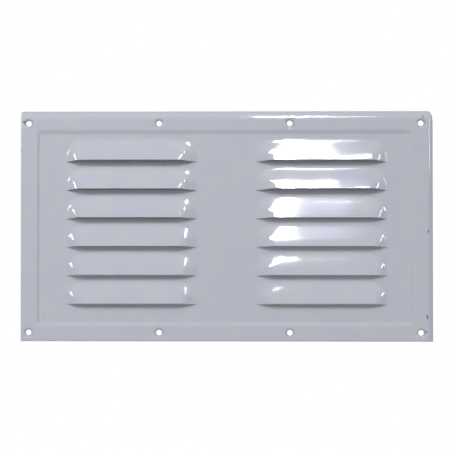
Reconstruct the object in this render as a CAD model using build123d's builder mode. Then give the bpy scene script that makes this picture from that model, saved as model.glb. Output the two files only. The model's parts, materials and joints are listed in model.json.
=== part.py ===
from build123d import *

import os
from math import atan, radians, sin, tan

# A louvred wall ventilation grille, pressed from one sheet of painted metal.
# The wall is the plane Y = 0 and the room is towards -Y. X runs along the grille and Z is up.
# The origin is the centre of the screw holes, on the wall. Sizes are in millimetres.

# Sheet
plate_width = 300.0
plate_height = 167.5
sheet = 0.8  # thickness of the metal

# Screw holes: two even rows, each hole in a conical seat pressed back to the wall
holes_per_row = 4
hole_diameter = 4.2
margin_left = 6.0  # from the outermost holes to the edges of the sheet
margin_right = 9.0
margin_top = 9.0
margin_bottom = 6.5
seat_flare = 2.0  # width of the seat's sloping wall

# Edge rolls: how far in from each edge the border starts to fall back to the wall
roll_top = 7.0
roll_right = 4.7
roll_bottom = 1.4
roll_left = 1.6

# Panel: the middle of the sheet lies on the wall, a step below a raised border
step_inset_side = 7.0  # from the outermost holes in to the middle of the step
step_inset_end = 6.25  # the same, from the rows of holes
panel_corner = 2.5
border_rise = 1.0
step_slope = 45.0  # degrees from the panel

# Louvres: two columns of lanced hoods, each open along a slit below it
column_gap = 43.0
louvre_side = 19.0  # from the panel's sides to the ends of the slits, before the shift
louvre_shift = 1.5  # how far right of the screw holes the louvres are centred
louvre_top_gap = 5.25  # from the panel's top down to the first hood
louvre_bottom_gap = 8.0  # least clear height below the last slit
louvre_land = 4.3  # flat strip between a slit and the next hood down
louvre_height = 16.4  # from a slit up to the foot of its hood
hood_corner = 12.5  # radius, in plan, of the hood's rounded upper corners
hood_tip = 0.5  # the same, at the greatest height that the corners allow
end_slope = 27.0  # degrees that the hood's ends and corners lean out of the panel
face_slope = 18.5  # the same, for its face
crown_slope = 16.0  # the same, for the flatter crown along its lip
crown_width = 5.5  # from the slit up to where the crown meets the face
lip_lean = 12.0  # degrees that the lip is drawn back over the slit

# Places worked out from the sizes above
border_front = border_rise + sheet
hole_span = plate_width - margin_left - margin_right
hole_pitch = hole_span / (holes_per_row - 1)
hole_row_gap = plate_height - margin_top - margin_bottom
seat_wall = sheet * tan(atan(border_rise / seat_flare) / 2)
panel_width = hole_span - 2 * step_inset_side
panel_height = hole_row_gap - 2 * step_inset_end
step_run = border_rise / tan(radians(step_slope))
louvre_length = (panel_width - 2 * louvre_side - column_gap) / 2
louvre_pitch = louvre_height + louvre_land
louvre_room = panel_height - louvre_top_gap - louvre_height - louvre_bottom_gap
louvre_rows = 1 + int(louvre_room / louvre_pitch)
top_slit = panel_height / 2 - louvre_top_gap - louvre_height
middle_slit = top_slit - louvre_pitch * (louvre_rows - 1) / 2
crown_level = sheet + (louvre_height - crown_width) * tan(radians(face_slope))
hood_limit = sheet + (hood_corner - hood_tip) * tan(radians(end_slope))


def roll_radius(width):
    """Radius of an edge roll that falls from the border to the wall over this width."""
    if width <= border_front:
        return width
    return (width**2 + border_front**2) / (2 * border_front)


def pressed_form(inset):
    """The block behind the sheet's front before the louvres, or one that far inside it.

    Its sides run on behind the wall, and stand where each edge roll would end at a right angle.
    """
    left = -hole_span / 2 - margin_left + roll_left - roll_radius(roll_left) + inset
    right = hole_span / 2 + margin_right - roll_right + roll_radius(roll_right) - inset
    bottom = -hole_row_gap / 2 - margin_bottom + roll_bottom - roll_radius(roll_bottom) + inset
    top = hole_row_gap / 2 + margin_top - roll_top + roll_radius(roll_top) - inset
    rolls = [
        (roll_top, Axis.Z, -1),
        (roll_right, Axis.X, -1),
        (roll_bottom, Axis.Z, 0),
        (roll_left, Axis.X, 0),
    ]
    rolls.sort(key=lambda roll: roll[0], reverse=True)
    front = border_front - inset
    skirt = roll_radius(rolls[0][0]) + sheet
    spread = step_run + 2 * inset * tan(radians(step_slope / 2))
    with BuildPart() as form:
        with BuildSketch(Plane.XZ.offset(-skirt)):
            with Locations((left, bottom)):
                Rectangle(right - left, top - bottom, align=(Align.MIN, Align.MIN))
        extrude(amount=skirt + front)

        # Edge rolls, widest first, so that each tighter one runs on round the corners
        for width, axis, end in rolls:
            border = form.faces().sort_by(Axis.Y)[0]
            fillet(border.edges().sort_by(axis)[end], roll_radius(width) - inset)

        # Step down to the panel
        with BuildSketch(Plane.XZ.offset(front)):
            RectangleRounded(panel_width + spread, panel_height + spread, panel_corner + spread / 2)
        extrude(amount=-border_rise, taper=90 - step_slope, mode=Mode.SUBTRACT)
    return form.part


def hood_form(inset, base, cut):
    """The solid from a base level out to a hood's face, or to a face that far behind it.

    X runs along the slit from its middle, Y is up the panel and Z is out of the wall. The form
    starts as a tapered boss about the slit, and is cut off below the plane given.
    """
    spread = (sheet - base) / tan(radians(end_slope)) - inset / sin(radians(end_slope))
    face = Plane(origin=(0, louvre_height, sheet)).rotated((-face_slope, 0, 0))
    crown = Plane(origin=(0, crown_width, crown_level)).rotated((-crown_slope, 0, 0))
    with BuildPart() as form:
        with BuildSketch(Plane.XY.offset(base)):
            RectangleRounded(
                louvre_length + 2 * spread,
                2 * (louvre_height + spread),
                hood_corner + spread,
            )
        extrude(amount=hood_limit - inset - base, taper=90 - end_slope)
        split(bisect_by=cut, keep=Keep.TOP)
        split(bisect_by=face.offset(-inset), keep=Keep.BOTTOM)
        split(bisect_by=crown.offset(-inset), keep=Keep.BOTTOM)
    return form.part


# One hood, cut off at its lip, and the hollow behind it that opens at the slit
hood = hood_form(0, sheet / 2, Plane.ZX.rotated((-lip_lean, 0, 0)))
hollow = hood_form(sheet, -sheet, Plane.ZX)

with BuildPart() as louvre_plate:
    # A sheet of even thickness, trimmed where its edges meet the wall
    add(pressed_form(0))
    add(pressed_form(sheet), mode=Mode.SUBTRACT)
    split(bisect_by=Plane.XZ, keep=Keep.TOP)

    # Screw seats, their walls as thick as the sheet, and the holes
    outwards = (Align.CENTER, Align.CENTER, Align.MIN)
    hole = hole_diameter / 2
    mouth = hole + seat_flare
    with Locations(Plane.XZ), GridLocations(hole_pitch, hole_row_gap, holes_per_row, 2):
        Cone(hole, mouth, border_rise, align=outwards)
        with Locations((0, 0, sheet)):
            Cone(hole - seat_wall, mouth - seat_wall, border_rise, align=outwards, mode=Mode.SUBTRACT)
        Cylinder(hole, border_front, align=outwards, mode=Mode.SUBTRACT)

    # Louvres
    with Locations(Plane.XZ), Locations((louvre_shift, middle_slit)):
        with GridLocations(louvre_length + column_gap, louvre_pitch, 2, louvre_rows):
            add(hood)
            add(hollow, mode=Mode.SUBTRACT)

louvre_plate.part.label = "louvre_plate"
os.makedirs("parts", exist_ok=True)
export_step(louvre_plate.part, "parts/louvre_plate.step")
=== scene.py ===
"""A louvred wall ventilation grille in gloss blue-grey paint, seen from the front on white."""

import json
from math import cos, pi, radians, sin, tan

import bmesh
import bpy
import numpy as np
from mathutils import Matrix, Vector


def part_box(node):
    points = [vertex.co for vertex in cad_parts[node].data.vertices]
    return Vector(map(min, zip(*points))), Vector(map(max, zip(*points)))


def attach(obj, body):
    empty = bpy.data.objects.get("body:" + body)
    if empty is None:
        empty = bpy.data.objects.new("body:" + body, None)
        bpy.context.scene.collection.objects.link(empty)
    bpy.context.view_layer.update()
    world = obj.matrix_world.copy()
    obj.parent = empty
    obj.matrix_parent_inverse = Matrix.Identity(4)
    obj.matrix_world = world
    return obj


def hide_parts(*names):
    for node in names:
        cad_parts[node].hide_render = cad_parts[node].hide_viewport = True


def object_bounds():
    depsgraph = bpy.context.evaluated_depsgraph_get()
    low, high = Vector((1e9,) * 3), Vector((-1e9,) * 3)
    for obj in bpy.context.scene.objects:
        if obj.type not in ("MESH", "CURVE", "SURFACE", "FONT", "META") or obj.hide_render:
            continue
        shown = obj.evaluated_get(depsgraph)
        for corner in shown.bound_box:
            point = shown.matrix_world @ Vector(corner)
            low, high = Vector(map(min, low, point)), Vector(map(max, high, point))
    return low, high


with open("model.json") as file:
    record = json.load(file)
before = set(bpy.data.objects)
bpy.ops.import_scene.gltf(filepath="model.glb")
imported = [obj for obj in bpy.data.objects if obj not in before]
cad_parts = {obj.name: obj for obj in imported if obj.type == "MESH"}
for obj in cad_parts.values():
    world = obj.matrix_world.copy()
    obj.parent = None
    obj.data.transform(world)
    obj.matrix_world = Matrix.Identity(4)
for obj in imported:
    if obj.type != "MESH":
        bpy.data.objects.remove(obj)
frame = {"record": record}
cad_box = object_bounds()

# Sizes are in millimetres until the meshes are made. X runs along the grille, Z is up, and the
# front stands out of the wall plane Y = 0 towards -Y. The names are those of the CAD source.
MM = 0.001
mounts = {mount["name"]: mount["dims"] for mount in frame["record"]["mounts"]}
plate_low, plate_high = (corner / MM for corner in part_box("louvre_plate"))

sheet = 0.8
border_rise = 1.0
border_front = border_rise + sheet

holes_per_row = 4
hole_span = mounts["corner_screws"]["spacing_x_mm"]
hole_pitch = mounts["inner_screws"]["spacing_x_mm"]
hole_row_gap = mounts["corner_screws"]["spacing_y_mm"]
hole_radius = mounts["corner_screws"]["hole_r_mm"]
seat_flare = 2.0

roll_top = 7.0
roll_right = 4.7
roll_bottom = 1.4
roll_left = 1.6
corner_power = 1.4  # how round the sheet's upper corners are
# Share of a wide roll's width, from the edge in to where its bevel would meet the border
bevel_share = 0.7

step_inset_side = 7.0
step_inset_end = 6.25
panel_width = hole_span - 2 * step_inset_side
panel_height = hole_row_gap - 2 * step_inset_end
panel_corner = 2.5
step_side = 2.0  # across the rounded step from the panel to the border
step_end = 4.2  # the same, at the top and bottom
step_change = 8.0  # height over which the step goes from one to the other

louvre_rows = 6
louvre_length = 95.0
louvre_centres = np.array([-67.5, 70.5])
louvre_height = 16.4
louvre_pitch = 20.7
louvre_top_gap = 5.25
top_slit = panel_height / 2 - louvre_top_gap - louvre_height
hood_corner = 12.5
end_slope = tan(radians(27.0))
inner_slope = tan(radians(24.5))  # of the ends that face the grille's middle
face_slope = tan(radians(18.5))
crown_slope = tan(radians(16.0))
crown_width = 5.5
crown_level = (louvre_height - crown_width) * face_slope
lip_lean = tan(radians(12.0))
foot_bend = 0.6  # height over which the panel bends up into a hood
crown_bend = 0.2  # the same, from a hood's face into its crown
corner_bend = 1.8  # the same, from its face into its ends
bend_start = 22.0  # how far in from a hood's ends the corner bend starts
bend_grow = 12.0  # length over which it grows
least_bend = 0.01  # share of it that is left between the ends
tight_share = 0.85  # how much tighter it is part of the way up the ends that face the middle
tight_level = 7.0  # how far up from the slit it is tightest
tight_reach = 2.4  # how far from there it eases
# How deep each hood is drawn, next to the CAD's: left and right column, from the top row down.
# The depths are fitted to the way each hood catches the window.
hood_draw = np.array(
    [(1.07, 0.95), (1.07, 1.12), (1.07, 0.935), (1.0, 0.95), (1.0, 0.95), (1.0, 0.95)]
)

# Grid of the front: fine lines where the sheet bends, coarse ones between
coarse_line = 3.0
seat_square = 4.3  # half the side of the square round each screw seat
seat_line = 0.86
seat_rings = [4.2, 4.0, 3.85, 3.7, 3.55, 3.4, 3.2, 2.9, 2.5, hole_radius]
step_reach = 2.2
step_line = 0.38
end_out = 2.0  # fine lines at a hood's ends, from beyond the end of the slit
end_in = 14.0  # and in along the slit
end_line = 0.9
lip_reach = 1.2
lip_line = 0.6
crown_reach = 1.0
crown_line = 0.5
foot_reach = 1.7
foot_line = 0.48
roll_lines = 8
far_below = -1000.0  # the slit that is given to the rows below the lowest one
hair = 0.01  # how far short of a grid line the search for it starts
weld_gap = 0.001
sharp_angle = radians(50)

# Painted shade in the step, on the rim and round the screw holes: how much of it there is, and
# how far it reaches
step_painted_shade = 0.5
step_painted_shade_reach = 0.8
step_painted_shade_in = 1.0  # how far in from the panel's left side it ends
rim_painted_shade = 0.7  # painted shade on the rolled rim, at the wall
rim_painted_shade_fade = 1.2  # depth out of the wall over which it would lessen by 1
rim_clear = 2.0  # how far out from the step it starts
# painted shade round the screw holes, in their seats
hole_painted_shade = 2.2
hole_painted_shade_reach = 0.9


def even(start, end, spacing):
    """Evenly spaced places from start up to, but not at, the end."""
    count = max(1, round((end - start) / spacing))
    return list(np.linspace(start, end, count, endpoint=False))


def grid_lines(start, end, fine):
    """Grid places from start to end, with a spacing of its own in each (low, high, spacing)."""
    places = []
    here = start
    for low, high, spacing in sorted(fine):
        if low > here:
            places += even(here, low, coarse_line)
        places += even(low, high, spacing)
        here = high
    if end > here:
        places += even(here, end, coarse_line)
    return places + [end]


def soft_min(a, b, bend):
    """The lower of two heights, rounded where they come within the bend of each other."""
    near = np.maximum(bend - np.abs(a - b), 0) / bend
    return np.minimum(a, b) - near**2 * bend / 4


def outside(x, z, width, height, corner):
    """Distance outside a rounded rectangle about the origin, or inside it if negative."""
    across = np.abs(x) - width / 2 + corner
    up = np.abs(z) - height / 2 + corner
    beyond = np.hypot(np.maximum(across, 0), np.maximum(up, 0))
    return beyond + np.minimum(np.maximum(across, up), 0) - corner


def roll_bevel(width):
    """Slope of a wide edge roll's bevel, and the length of the bend from the border into it."""
    return border_front / (bevel_share * width), 2 * (1 - bevel_share) * width


def roll_run(width, drop):
    """How far out along an edge roll the border has dropped this much."""
    if width < border_front:
        return np.sqrt(width**2 - (width - np.minimum(drop, width)) ** 2)
    slope, bend = roll_bevel(width)
    bent = np.sqrt(2 * bend * drop / slope)
    return np.where(drop < slope * bend / 2, bent, drop / slope + bend / 2)


def roll_drop(width, run):
    """How much an edge roll has dropped this far out along it."""
    run = np.maximum(run, 0)
    if width < border_front:
        return width - np.sqrt(width**2 - run**2)
    slope, bend = roll_bevel(width)
    return np.where(run < bend, slope * run**2 / (2 * bend), slope * (run - bend / 2))


def roll_drops(width):
    """Drops of the grid lines round an edge roll, down to the wall."""
    if width < border_front:
        turns = np.linspace(0, pi / 2, roll_lines + 1)[1:]
        return list(width * (1 - np.cos(turns))) + [border_front]
    return list(roll_drop(width, np.linspace(0, width, roll_lines + 1)[1:]))


def hood_height(u, v, draw):
    """How far a hood's front stands out of the panel.

    Places are v up from the slit, and u along it from its middle to the middle of the grille.
    """
    edge = -outside(u, v, louvre_length, 2 * louvre_height, hood_corner)
    face = (louvre_height - v) * face_slope
    crown = crown_level + (crown_width - v) * crown_slope
    near_end = (np.abs(u) - louvre_length / 2 + bend_start) / bend_grow
    near_end = np.clip(near_end, least_bend, 1)
    end = edge * np.where(u > 0, inner_slope, end_slope)
    tight = np.where(u > 0, tight_share * np.exp(-(((v - tight_level) / tight_reach) ** 2)), 0)
    bend = corner_bend * near_end * (1 - tight)
    top = soft_min(draw * soft_min(face, crown, crown_bend), end, bend)
    return -soft_min(-top, 0, foot_bend)


def step_height(x, z):
    """How far the border stands out of the panel."""
    near_end = np.clip((np.abs(z) - panel_height / 2) / step_change + 1, 0, 1)
    step_width = step_side + (step_end - step_side) * near_end
    rise = outside(x, z, panel_width, panel_height, panel_corner) / step_width + 0.5
    rise = np.clip(rise, 0, 1)
    return border_rise * rise**2 * (3 - 2 * rise)


def painted_shade(x, y, z):
    """Painted shade: darker down the left of the step round the panel, round the screw holes and
    on the rim towards the wall.
    """
    from_step = outside(x, z, panel_width, panel_height, panel_corner)
    # painted shade: a dark line down the left of the step round the panel
    at_left = x < step_painted_shade_in - panel_width / 2
    darkening = np.where(at_left, step_painted_shade, 0) * np.exp(-((from_step / step_painted_shade_reach) ** 2))
    # painted shade on the rolled rim, darker towards the wall
    at_rim = np.clip(rim_painted_shade + y / rim_painted_shade_fade, 0, 1)
    darkening = np.maximum(darkening, np.where(from_step > rim_clear, at_rim, 0))
    # painted shade round each screw hole, in its seat
    for across in hole_x:
        for up in hole_z:
            from_hole = np.hypot(x - across, z - up) - hole_radius
            at_hole = np.exp(-((from_hole / hole_painted_shade_reach) ** 2)) * hole_painted_shade
            darkening = np.where(from_hole < seat_flare, at_hole, darkening)
    return darkening


def seat_height(z, distance):
    """Height of the front at a level, and at a distance from the middle of a screw hole there.

    The seat starts level with the border at the first ring, and steepens towards the hole.
    """
    border = border_front - roll_drop(roll_top, z - (plate_high.z - roll_top))
    down = (seat_rings[0] - distance) / (seat_rings[0] - hole_radius)
    return sheet + (border - sheet) * (1 - down**2)


# Columns of the grid, each with the drop of the edge roll that it is on
hole_x = [hole_span / 2 - hole_pitch * k for k in range(holes_per_row)]
hole_z = [-hole_row_gap / 2, hole_row_gap / 2]
fine = [(x - seat_square, x + seat_square, seat_line) for x in hole_x]
for side in (-1, 1):
    middle = side * panel_width / 2
    fine.append((middle - step_reach, middle + step_reach, step_line))
    for centre in louvre_centres:
        beyond = centre + side * (louvre_length / 2 + end_out)
        within = centre + side * (louvre_length / 2 - end_in)
        fine.append((min(beyond, within), max(beyond, within), end_line))
left_start = plate_low.x + roll_left
right_start = plate_high.x - roll_right
left_drops = roll_drops(roll_left)
right_drops = roll_drops(roll_right)
flat_x = grid_lines(left_start, right_start, fine)
column_x = np.concatenate(
    [
        left_start - roll_run(roll_left, np.array(left_drops[::-1])),
        flat_x,
        right_start + roll_run(roll_right, np.array(right_drops)),
    ]
)
column_drop = np.array(left_drops[::-1] + [0] * len(flat_x) + right_drops)

# Rows: each has its height, the slit it belongs to, and its share of an edge roll's drop.
# A slit has two rows, one for the strip below it and one for the lip of the hood above it.
bottom_start = plate_low.z + roll_bottom
top_start = plate_high.z - roll_top
step_z = panel_height / 2
slits = [top_slit - louvre_pitch * k for k in reversed(range(louvre_rows))]
seat_rows = (hole_z[0] - seat_square, hole_z[0] + seat_square, seat_line)
step_rows = (-step_z - step_reach, -step_z + step_reach, step_line)
rows = [(z, far_below) for z in grid_lines(bottom_start, slits[0], [seat_rows, step_rows])]
hood_fine = [
    (0, lip_reach, lip_line),
    (crown_width - crown_reach, crown_width + crown_reach, crown_line),
    (louvre_height - foot_reach, louvre_height + foot_reach, foot_line),
]
for slit in slits[:-1]:
    rows += [(slit + v, slit) for v in grid_lines(0, louvre_pitch, hood_fine)]
top_fine = [(slits[-1] + low, slits[-1] + high, spacing) for low, high, spacing in hood_fine]
top_fine.append((step_z - step_reach, step_z + step_reach, step_line))
top_fine.append((hole_z[1] - seat_square, top_start, seat_line))
rows += [(z, slits[-1]) for z in grid_lines(slits[-1], top_start, top_fine)]
seat_drop = float(roll_drop(roll_top, hole_z[1] + seat_square - top_start))
bottom_drops = roll_drops(roll_bottom)
top_drops = sorted(roll_drops(roll_top) + [seat_drop])
row_z = np.concatenate(
    [
        bottom_start - roll_run(roll_bottom, np.array(bottom_drops[::-1])),
        [z for z, slit in rows],
        top_start + roll_run(roll_top, np.array(top_drops)),
    ]
)
row_slit = np.array(
    [far_below] * len(bottom_drops) + [slit for z, slit in rows] + [slits[-1]] * len(top_drops)
)
row_fall = np.array(bottom_drops[::-1] + [0] * len(rows) + top_drops) / border_front

# Front of the sheet over the grid
x, z = np.meshgrid(column_x, row_z)
slit = row_slit[:, None]
fall = row_fall[:, None]
below = (fall > 0) & (row_z[:, None] < 0)
above = (fall > 0) & (row_z[:, None] > 0)
corner_room = (border_front**corner_power - column_drop**corner_power) ** (1 / corner_power)
fallen = fall * np.where(below, border_front, corner_room)
rounded = (column_drop**corner_power + fallen**corner_power) ** (1 / corner_power)
drop = np.where(below, np.maximum(column_drop, fallen), rounded)
louvre_column = np.abs(x[..., None] - louvre_centres).argmin(-1)
louvre_row = np.clip(np.rint((top_slit - slit) / louvre_pitch), 0, louvre_rows - 1).astype(int)
draw = hood_draw[louvre_row, louvre_column]
u = (x - louvre_centres[louvre_column]) * np.where(louvre_column == 0, 1, -1)
v = z - slit
lip = hood_height(u, 0, draw) * lip_lean
lip = hood_height(u, lip, draw) * lip_lean
v = v + lip * np.clip(1 - v / louvre_height, 0, 1)
height = sheet + step_height(x, z) + hood_height(u, v, draw) - drop
z = slit + v
z = np.where(below, bottom_start - roll_run(roll_bottom, fallen), z)
z = np.where(above, top_start + roll_run(roll_top, fallen), z)
points = list(np.stack([x, -height, z], -1).reshape(-1, 3))

# Faces of the grid, open along each slit and in a square round each screw hole
index = np.arange(x.size).reshape(x.shape)
middle_x = (column_x[:-1] + column_x[1:]) / 2
middle_z = (row_z[:-1] + row_z[1:]) / 2
in_seat_x = (np.abs(middle_x[:, None] - hole_x) < seat_square).any(1)
in_seat_z = (np.abs(middle_z[:, None] - hole_z) < seat_square).any(1)
kept = ~(in_seat_z[:, None] & in_seat_x[None, :])
kept[row_slit[1:] != row_slit[:-1]] = False
around = [index[:-1, :-1], index[:-1, 1:], index[1:, 1:], index[1:, :-1]]
faces = np.stack(around, -1)[kept].tolist()

# Screw seats: rings that run from the square round each hole in to the hole
for across in hole_x:
    for up in hole_z:
        sides = np.array([-seat_square, seat_square]) - hair
        first, last = np.searchsorted(column_x, across + sides)
        low, high = np.searchsorted(row_z, up + sides)
        around = list(index[low, first:last]) + list(index[low:high, last])
        around += list(index[high, last:first:-1]) + list(index[high:low:-1, first])
        outward = np.array([points[corner][[0, 2]] for corner in around]) - (across, up)
        outward /= np.linalg.norm(outward, axis=1)[:, None]
        previous = around
        for ring in seat_rings:
            place = outward * ring + (across, up)
            rise = seat_height(place[:, 1], ring)
            start = len(points)
            points += list(np.stack([place[:, 0], -rise, place[:, 1]], -1))
            current = list(range(start, len(points)))
            faces += [
                [previous[k - 1], previous[k], current[k], current[k - 1]]
                for k in range(len(current))
            ]
            previous = current


def new_object(name, mesh):
    made = bpy.data.objects.new(name, mesh)
    bpy.context.scene.collection.objects.link(made)
    return made


def plate_mesh():
    """The sheet: the front, welded where a slit ends and at the corners, and given its back."""
    front = bpy.data.meshes.new("louvre_front")
    front.from_pydata([point * MM for point in points], [], faces)
    welded = bmesh.new()
    welded.from_mesh(front)
    bmesh.ops.remove_doubles(welded, verts=welded.verts, dist=weld_gap * MM)
    bmesh.ops.dissolve_degenerate(welded, edges=welded.edges, dist=weld_gap * MM)
    welded.to_mesh(front)
    welded.free()
    made = new_object("louvre_plate_formed", front)
    thickness = made.modifiers.new("sheet", "SOLIDIFY")
    thickness.thickness = sheet * MM
    thickness.offset = -1
    depsgraph = bpy.context.evaluated_depsgraph_get()
    solid = bpy.data.meshes.new_from_object(made.evaluated_get(depsgraph))
    made.modifiers.clear()
    made.data = solid
    for vertex in solid.vertices:
        vertex.co.y = min(vertex.co.y, 0)
    places = np.array([vertex.co / MM for vertex in solid.vertices])
    # painted shade of the step, the rim and the screw holes, kept on the points for the paint
    darkening = solid.attributes.new("darkening", "FLOAT", "POINT")
    darkening.data.foreach_set("value", painted_shade(places[:, 0], places[:, 1], places[:, 2]))
    solid.shade_smooth()
    solid.set_sharp_from_angle(angle=sharp_angle)
    return made


def srgb(code):
    """Linear colour of an sRGB hex code."""
    parts = [int(code[k : k + 2], 16) / 255 for k in (1, 3, 5)]
    return [c / 12.92 if c <= 0.04045 else ((c + 0.055) / 1.055) ** 2.4 for c in parts] + [1]


def add_node(tree, kind, inputs=None, **settings):
    """A node with its settings made, and its inputs set or linked."""
    made = tree.nodes.new(kind)
    for name, value in settings.items():
        setattr(made, name, value)
    for name, value in (inputs or {}).items():
        if isinstance(value, bpy.types.NodeSocket):
            tree.links.new(value, made.inputs[name])
        else:
            made.inputs[name].default_value = value
    return made


def new_material(name):
    made = bpy.data.materials.new(name)
    made.use_nodes = True
    made.node_tree.nodes.clear()
    return made, made.node_tree


# Wear, each mark with its place on the front and its half width and half height
mark_depth = 0.75  # half depth, less than the sheet, so that the marks stay on the front
chips = [
    ((148.1, -1.6, -2.1), (0.9, 1.7)),
    ((147.2, -1.7, -63.9), (0.9, 2.4)),
    ((-147.6, -1.6, 57.2), (1.0, 1.3)),
    ((-145.4, -1.7, 77.6), (1.3, 1.0)),
    ((144.5, -1.4, 81.0), (0.8, 1.2)),
    ((146.2, -1.7, -75.0), (0.9, 1.2)),
]
specks = [
    ((-130.7, -0.8, -64.7), (1.4, 1.2)),
    ((-41.9, -0.8, -64.7), (1.4, 1.1)),
    ((-47.4, -2.5, 38.6), (1.2, 1.0)),
    ((-6.0, -0.8, 45.2), (1.0, 1.0)),
    ((94.9, -1.8, -75.8), (2.0, 1.2)),
    ((-100.2, -1.8, -73.1), (1.3, 1.0)),
]

# Patterns of the paint
drift_size = 16 * MM  # clouds in the colour
ragged_size = 1.5 * MM  # torn edges of the marks
ragged_reach = 0.8 * MM
waver_size = 28 * MM  # waves in the sheet
waver_depth = 0.25 * MM
peel_size = 3 * MM  # orange peel
peel_depth = 0.02 * MM
# how far the dark specks and the painted shade darken the enamel
darkening_cover = 0.22
chip_cover = 0.75


def spots(tree, place, marks):
    """1 in the middle of each mark, down to 0 at its edge."""
    mask = 0
    for centre, (half_width, half_height) in marks:
        centred = add_node(
            tree,
            "ShaderNodeMapping",
            {
                "Vector": place,
                "Location": [part * MM for part in centre],
                "Scale": (half_width * MM, mark_depth * MM, half_height * MM),
            },
            vector_type="TEXTURE",
        )
        spot = add_node(
            tree,
            "ShaderNodeTexGradient",
            {"Vector": centred.outputs["Vector"]},
            gradient_type="SPHERICAL",
        )
        mask = add_node(
            tree, "ShaderNodeMath", {0: mask, 1: spot.outputs["Fac"]}, operation="MAXIMUM"
        ).outputs[0]
    return mask


def gloss_paint():
    """Stoved gloss enamel on pressed steel sheet, with some years of use.

    The enamel flows out to a mirror-like skin, so lamps show as crisp white patches. Their edges
    waver, because the sheet is not quite flat and the skin keeps a faint orange peel. The colour
    drifts a little, a few dark specks sit on the front, and the rim is chipped. Shade is painted
    into the colour as well: darker down the left of the step, round the screw holes, and on the
    rim towards the wall.
    """
    made, tree = new_material("stoved_gloss_enamel")
    place = add_node(tree, "ShaderNodeTexCoord").outputs["Object"]
    drift = add_node(
        tree, "ShaderNodeTexNoise", {"Vector": place, "Scale": 1 / drift_size, "Detail": 3}
    )
    tint = add_node(
        tree,
        "ShaderNodeMapRange",
        {"Value": drift.outputs["Fac"], "From Min": 0.3, "From Max": 0.7},
    )
    enamel = add_node(
        tree,
        "ShaderNodeMix",
        {0: tint.outputs[0], 6: srgb("#B8B8C6"), 7: srgb("#B9BEC1")},
        data_type="RGBA",
    )
    ragged = add_node(
        tree, "ShaderNodeTexNoise", {"Vector": place, "Scale": 1 / ragged_size, "Detail": 2}
    )
    torn = add_node(
        tree,
        "ShaderNodeVectorMath",
        {0: ragged.outputs["Color"], 1: (ragged_reach, 0, ragged_reach), 2: place},
        operation="MULTIPLY_ADD",
    ).outputs[0]
    # painted shade in the step, round the screw holes and on the rim, joined with the dark
    # specks
    shade_attribute = add_node(tree, "ShaderNodeAttribute", attribute_name="darkening")
    darkening = add_node(
        tree,
        "ShaderNodeMath",
        {0: spots(tree, torn, specks), 1: shade_attribute.outputs["Fac"]},
        operation="MAXIMUM",
    )
    darkening_share = add_node(
        tree,
        "ShaderNodeMath",
        {0: darkening.outputs[0], 1: darkening_cover},
        operation="MULTIPLY",
    )
    # the dark specks and the painted shade both darken the enamel towards this grey
    darkened = add_node(
        tree,
        "ShaderNodeMix",
        {0: darkening_share.outputs[0], 6: enamel.outputs[2], 7: srgb("#5A5A58")},
        data_type="RGBA",
    )
    bare = add_node(
        tree,
        "ShaderNodeMapRange",
        {
            "Value": spots(tree, torn, chips),
            "From Min": 0.1,
            "From Max": 0.6,
            "To Max": chip_cover,
        },
    )
    worn = add_node(
        tree,
        "ShaderNodeMix",
        {0: bare.outputs[0], 6: darkened.outputs[2], 7: srgb("#3C3D40")},
        data_type="RGBA",
    )
    waver = add_node(
        tree, "ShaderNodeTexNoise", {"Vector": place, "Scale": 1 / waver_size, "Detail": 1}
    )
    sheet_bump = add_node(
        tree,
        "ShaderNodeBump",
        {"Height": waver.outputs["Fac"], "Strength": 1.0, "Distance": waver_depth},
    )
    peel = add_node(
        tree, "ShaderNodeTexNoise", {"Vector": place, "Scale": 1 / peel_size, "Detail": 2}
    )
    peel_bump = add_node(
        tree,
        "ShaderNodeBump",
        {
            "Height": peel.outputs["Fac"],
            "Strength": 0.2,
            "Distance": peel_depth,
            "Normal": sheet_bump.outputs["Normal"],
        },
    )
    paint = add_node(
        tree,
        "ShaderNodeBsdfPrincipled",
        {
            "Base Color": worn.outputs[2],
            "Roughness": 0.08,
            "IOR": 1.5,
            "Normal": peel_bump.outputs["Normal"],
        },
    )
    add_node(tree, "ShaderNodeOutputMaterial", {"Surface": paint.outputs["BSDF"]})
    return made


plate = plate_mesh()
plate.data.materials.append(gloss_paint())
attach(plate, "root")
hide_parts("louvre_plate")


def quad(name, corners, material):
    mesh = bpy.data.meshes.new(name)
    mesh.from_pydata(corners, [], [[0, 1, 2, 3]])
    mesh.materials.append(material)
    made = new_object(name, mesh)
    return made


def background_share(tree):
    """1 for rays that see the background, directly or in a reflection, and 0 for its light."""
    rays = add_node(tree, "ShaderNodeLightPath").outputs
    seen = add_node(
        tree,
        "ShaderNodeMath",
        {0: rays["Is Camera Ray"], 1: rays["Is Glossy Ray"]},
        operation="MAXIMUM",
    )
    return add_node(
        tree,
        "ShaderNodeMath",
        {0: seen.outputs[0], 1: rays["Is Transmission Ray"]},
        operation="MAXIMUM",
    ).outputs[0]


floor_glow = 0.8  # share of plain white in the floor where it is seen


def pale_floor():
    """Matt pale studio floor that is nearly white to the camera and keeps a shadow."""
    made, tree = new_material("matt_pale_floor")
    seen = add_node(
        tree,
        "ShaderNodeMath",
        {0: background_share(tree), 1: floor_glow},
        operation="MULTIPLY",
    )
    matt = add_node(tree, "ShaderNodeBsdfDiffuse", {"Color": srgb("#F4F4F4")})
    glow = add_node(tree, "ShaderNodeEmission", {"Strength": 1.0})
    mix = add_node(
        tree,
        "ShaderNodeMixShader",
        {0: seen.outputs[0], 1: matt.outputs[0], 2: glow.outputs[0]},
    )
    add_node(tree, "ShaderNodeOutputMaterial", {"Surface": mix.outputs[0]})
    return made


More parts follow.
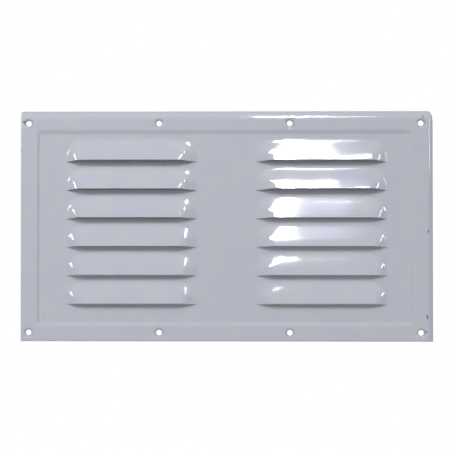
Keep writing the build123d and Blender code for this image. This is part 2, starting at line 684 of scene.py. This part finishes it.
def grey_card():
    """Matt grey card on the wall side, seen through the slits and clear from behind."""
    made, tree = new_material("matt_grey_card")
    matt = add_node(tree, "ShaderNodeBsdfDiffuse", {"Color": srgb("#C4C4CA")})
    clear = add_node(tree, "ShaderNodeBsdfTransparent")
    mix = add_node(
        tree,
        "ShaderNodeMixShader",
        {
            0: add_node(tree, "ShaderNodeNewGeometry").outputs["Backfacing"],
            1: matt.outputs[0],
            2: clear.outputs[0],
        },
    )
    add_node(tree, "ShaderNodeOutputMaterial", {"Surface": mix.outputs[0]})
    return made


floor_level = -0.42
floor_half = 0.5
quad(
    "floor",
    [
        (-floor_half, -floor_half, floor_level),
        (floor_half, -floor_half, floor_level),
        (floor_half, floor_half, floor_level),
        (-floor_half, floor_half, floor_level),
    ],
    pale_floor(),
)

card_inset = 18 * MM
card_low = cad_box[0] + Vector((card_inset, 0, card_inset))
card_high = cad_box[1] - Vector((card_inset, 0, card_inset))
card_back = 0.3 * MM
card = quad(
    "backing_card",
    [
        (card_low.x, card_back, card_low.z),
        (card_high.x, card_back, card_low.z),
        (card_high.x, card_back, card_high.z),
        (card_low.x, card_back, card_high.z),
    ],
    grey_card(),
)
card.visible_diffuse = False
card.visible_glossy = False
card.visible_transmission = False
card.visible_shadow = False


def lamp(name, azimuth, elevation, size, radiance, colour="#FFFFFF", distance=3.0):
    """A soft box that faces the grille, at angles to the right of and above its normal."""
    light = bpy.data.lights.new(name, "AREA")
    light.shape = "RECTANGLE"
    light.size, light.size_y = size
    light.energy = radiance * pi * size[0] * size[1]
    light.color = srgb(colour)[:3]
    made = new_object(name, light)
    level = cos(radians(elevation))
    direction = Vector(
        (
            level * sin(radians(azimuth)),
            -level * cos(radians(azimuth)),
            sin(radians(elevation)),
        )
    )
    made.location = direction * distance
    made.rotation_euler = direction.to_track_quat("Z", "Y").to_euler()
    return made


# The window, its sides and its curtain are fitted to the white patches on the louvres, and left
# and right to the glints on their ends. The rest set the levels of light and shade.
lamp("window", 6.95, 37.8, (0.22, 0.72), 60)
lamp("window_side", 12, 41.7, (0.26, 0.27), 60)
lamp("window_edge", 17.3, 38.35, (0.34, 0.05), 50)
lamp("curtain", 13.5, 37.4, (0.26, 0.7), 4, "#DCE2FF")
lamp("curtain_edge", 16, 38.7, (0.4, 0.56), 1.5, "#DCE2FF")
lamp("left", -60, 16, (0.24, 0.6), 32)
lamp("right", 60, 12, (0.18, 0.6), 26)
lamp("sky", 10, 62, (2.4, 1.2), 0.9, "#B9C8FF")
lamp("back", 160, 45, (1.2, 1.2), 8)
fill = lamp("fill", -40, 36, (0.3, 0.3), 5.5, distance=0.8)
fill.visible_glossy = False

world = bpy.data.worlds.new("studio")
world.use_nodes = True
world.node_tree.nodes.clear()
world_light = 0.1  # what the world gives off, next to the white that is seen
strength = add_node(
    world.node_tree,
    "ShaderNodeMapRange",
    {"Value": background_share(world.node_tree), "To Min": world_light, "To Max": 1.0},
)
studio = add_node(
    world.node_tree,
    "ShaderNodeBackground",
    {"Color": srgb("#FFFFFF"), "Strength": strength.outputs[0]},
)
add_node(world.node_tree, "ShaderNodeOutputWorld", {"Surface": studio.outputs[0]})
bpy.context.scene.world = world

# Camera: nearly square on to the grille, a little right of and below the middle of its holes
image_size = 452
focal_pixels = 550
camera_place = Vector((0.0042, -0.4007, -0.0011))
camera_target = Vector((0.0012, 0, 0.0014))
lens = bpy.data.cameras.new("camera")
lens.sensor_width = 36
lens.lens = lens.sensor_width * focal_pixels / image_size
camera = new_object("camera", lens)
camera.location = camera_place
camera.rotation_euler = (camera_target - camera_place).to_track_quat("-Z", "Y").to_euler()
bpy.context.scene.camera = camera
bpy.context.scene.view_settings.view_transform = "Standard"
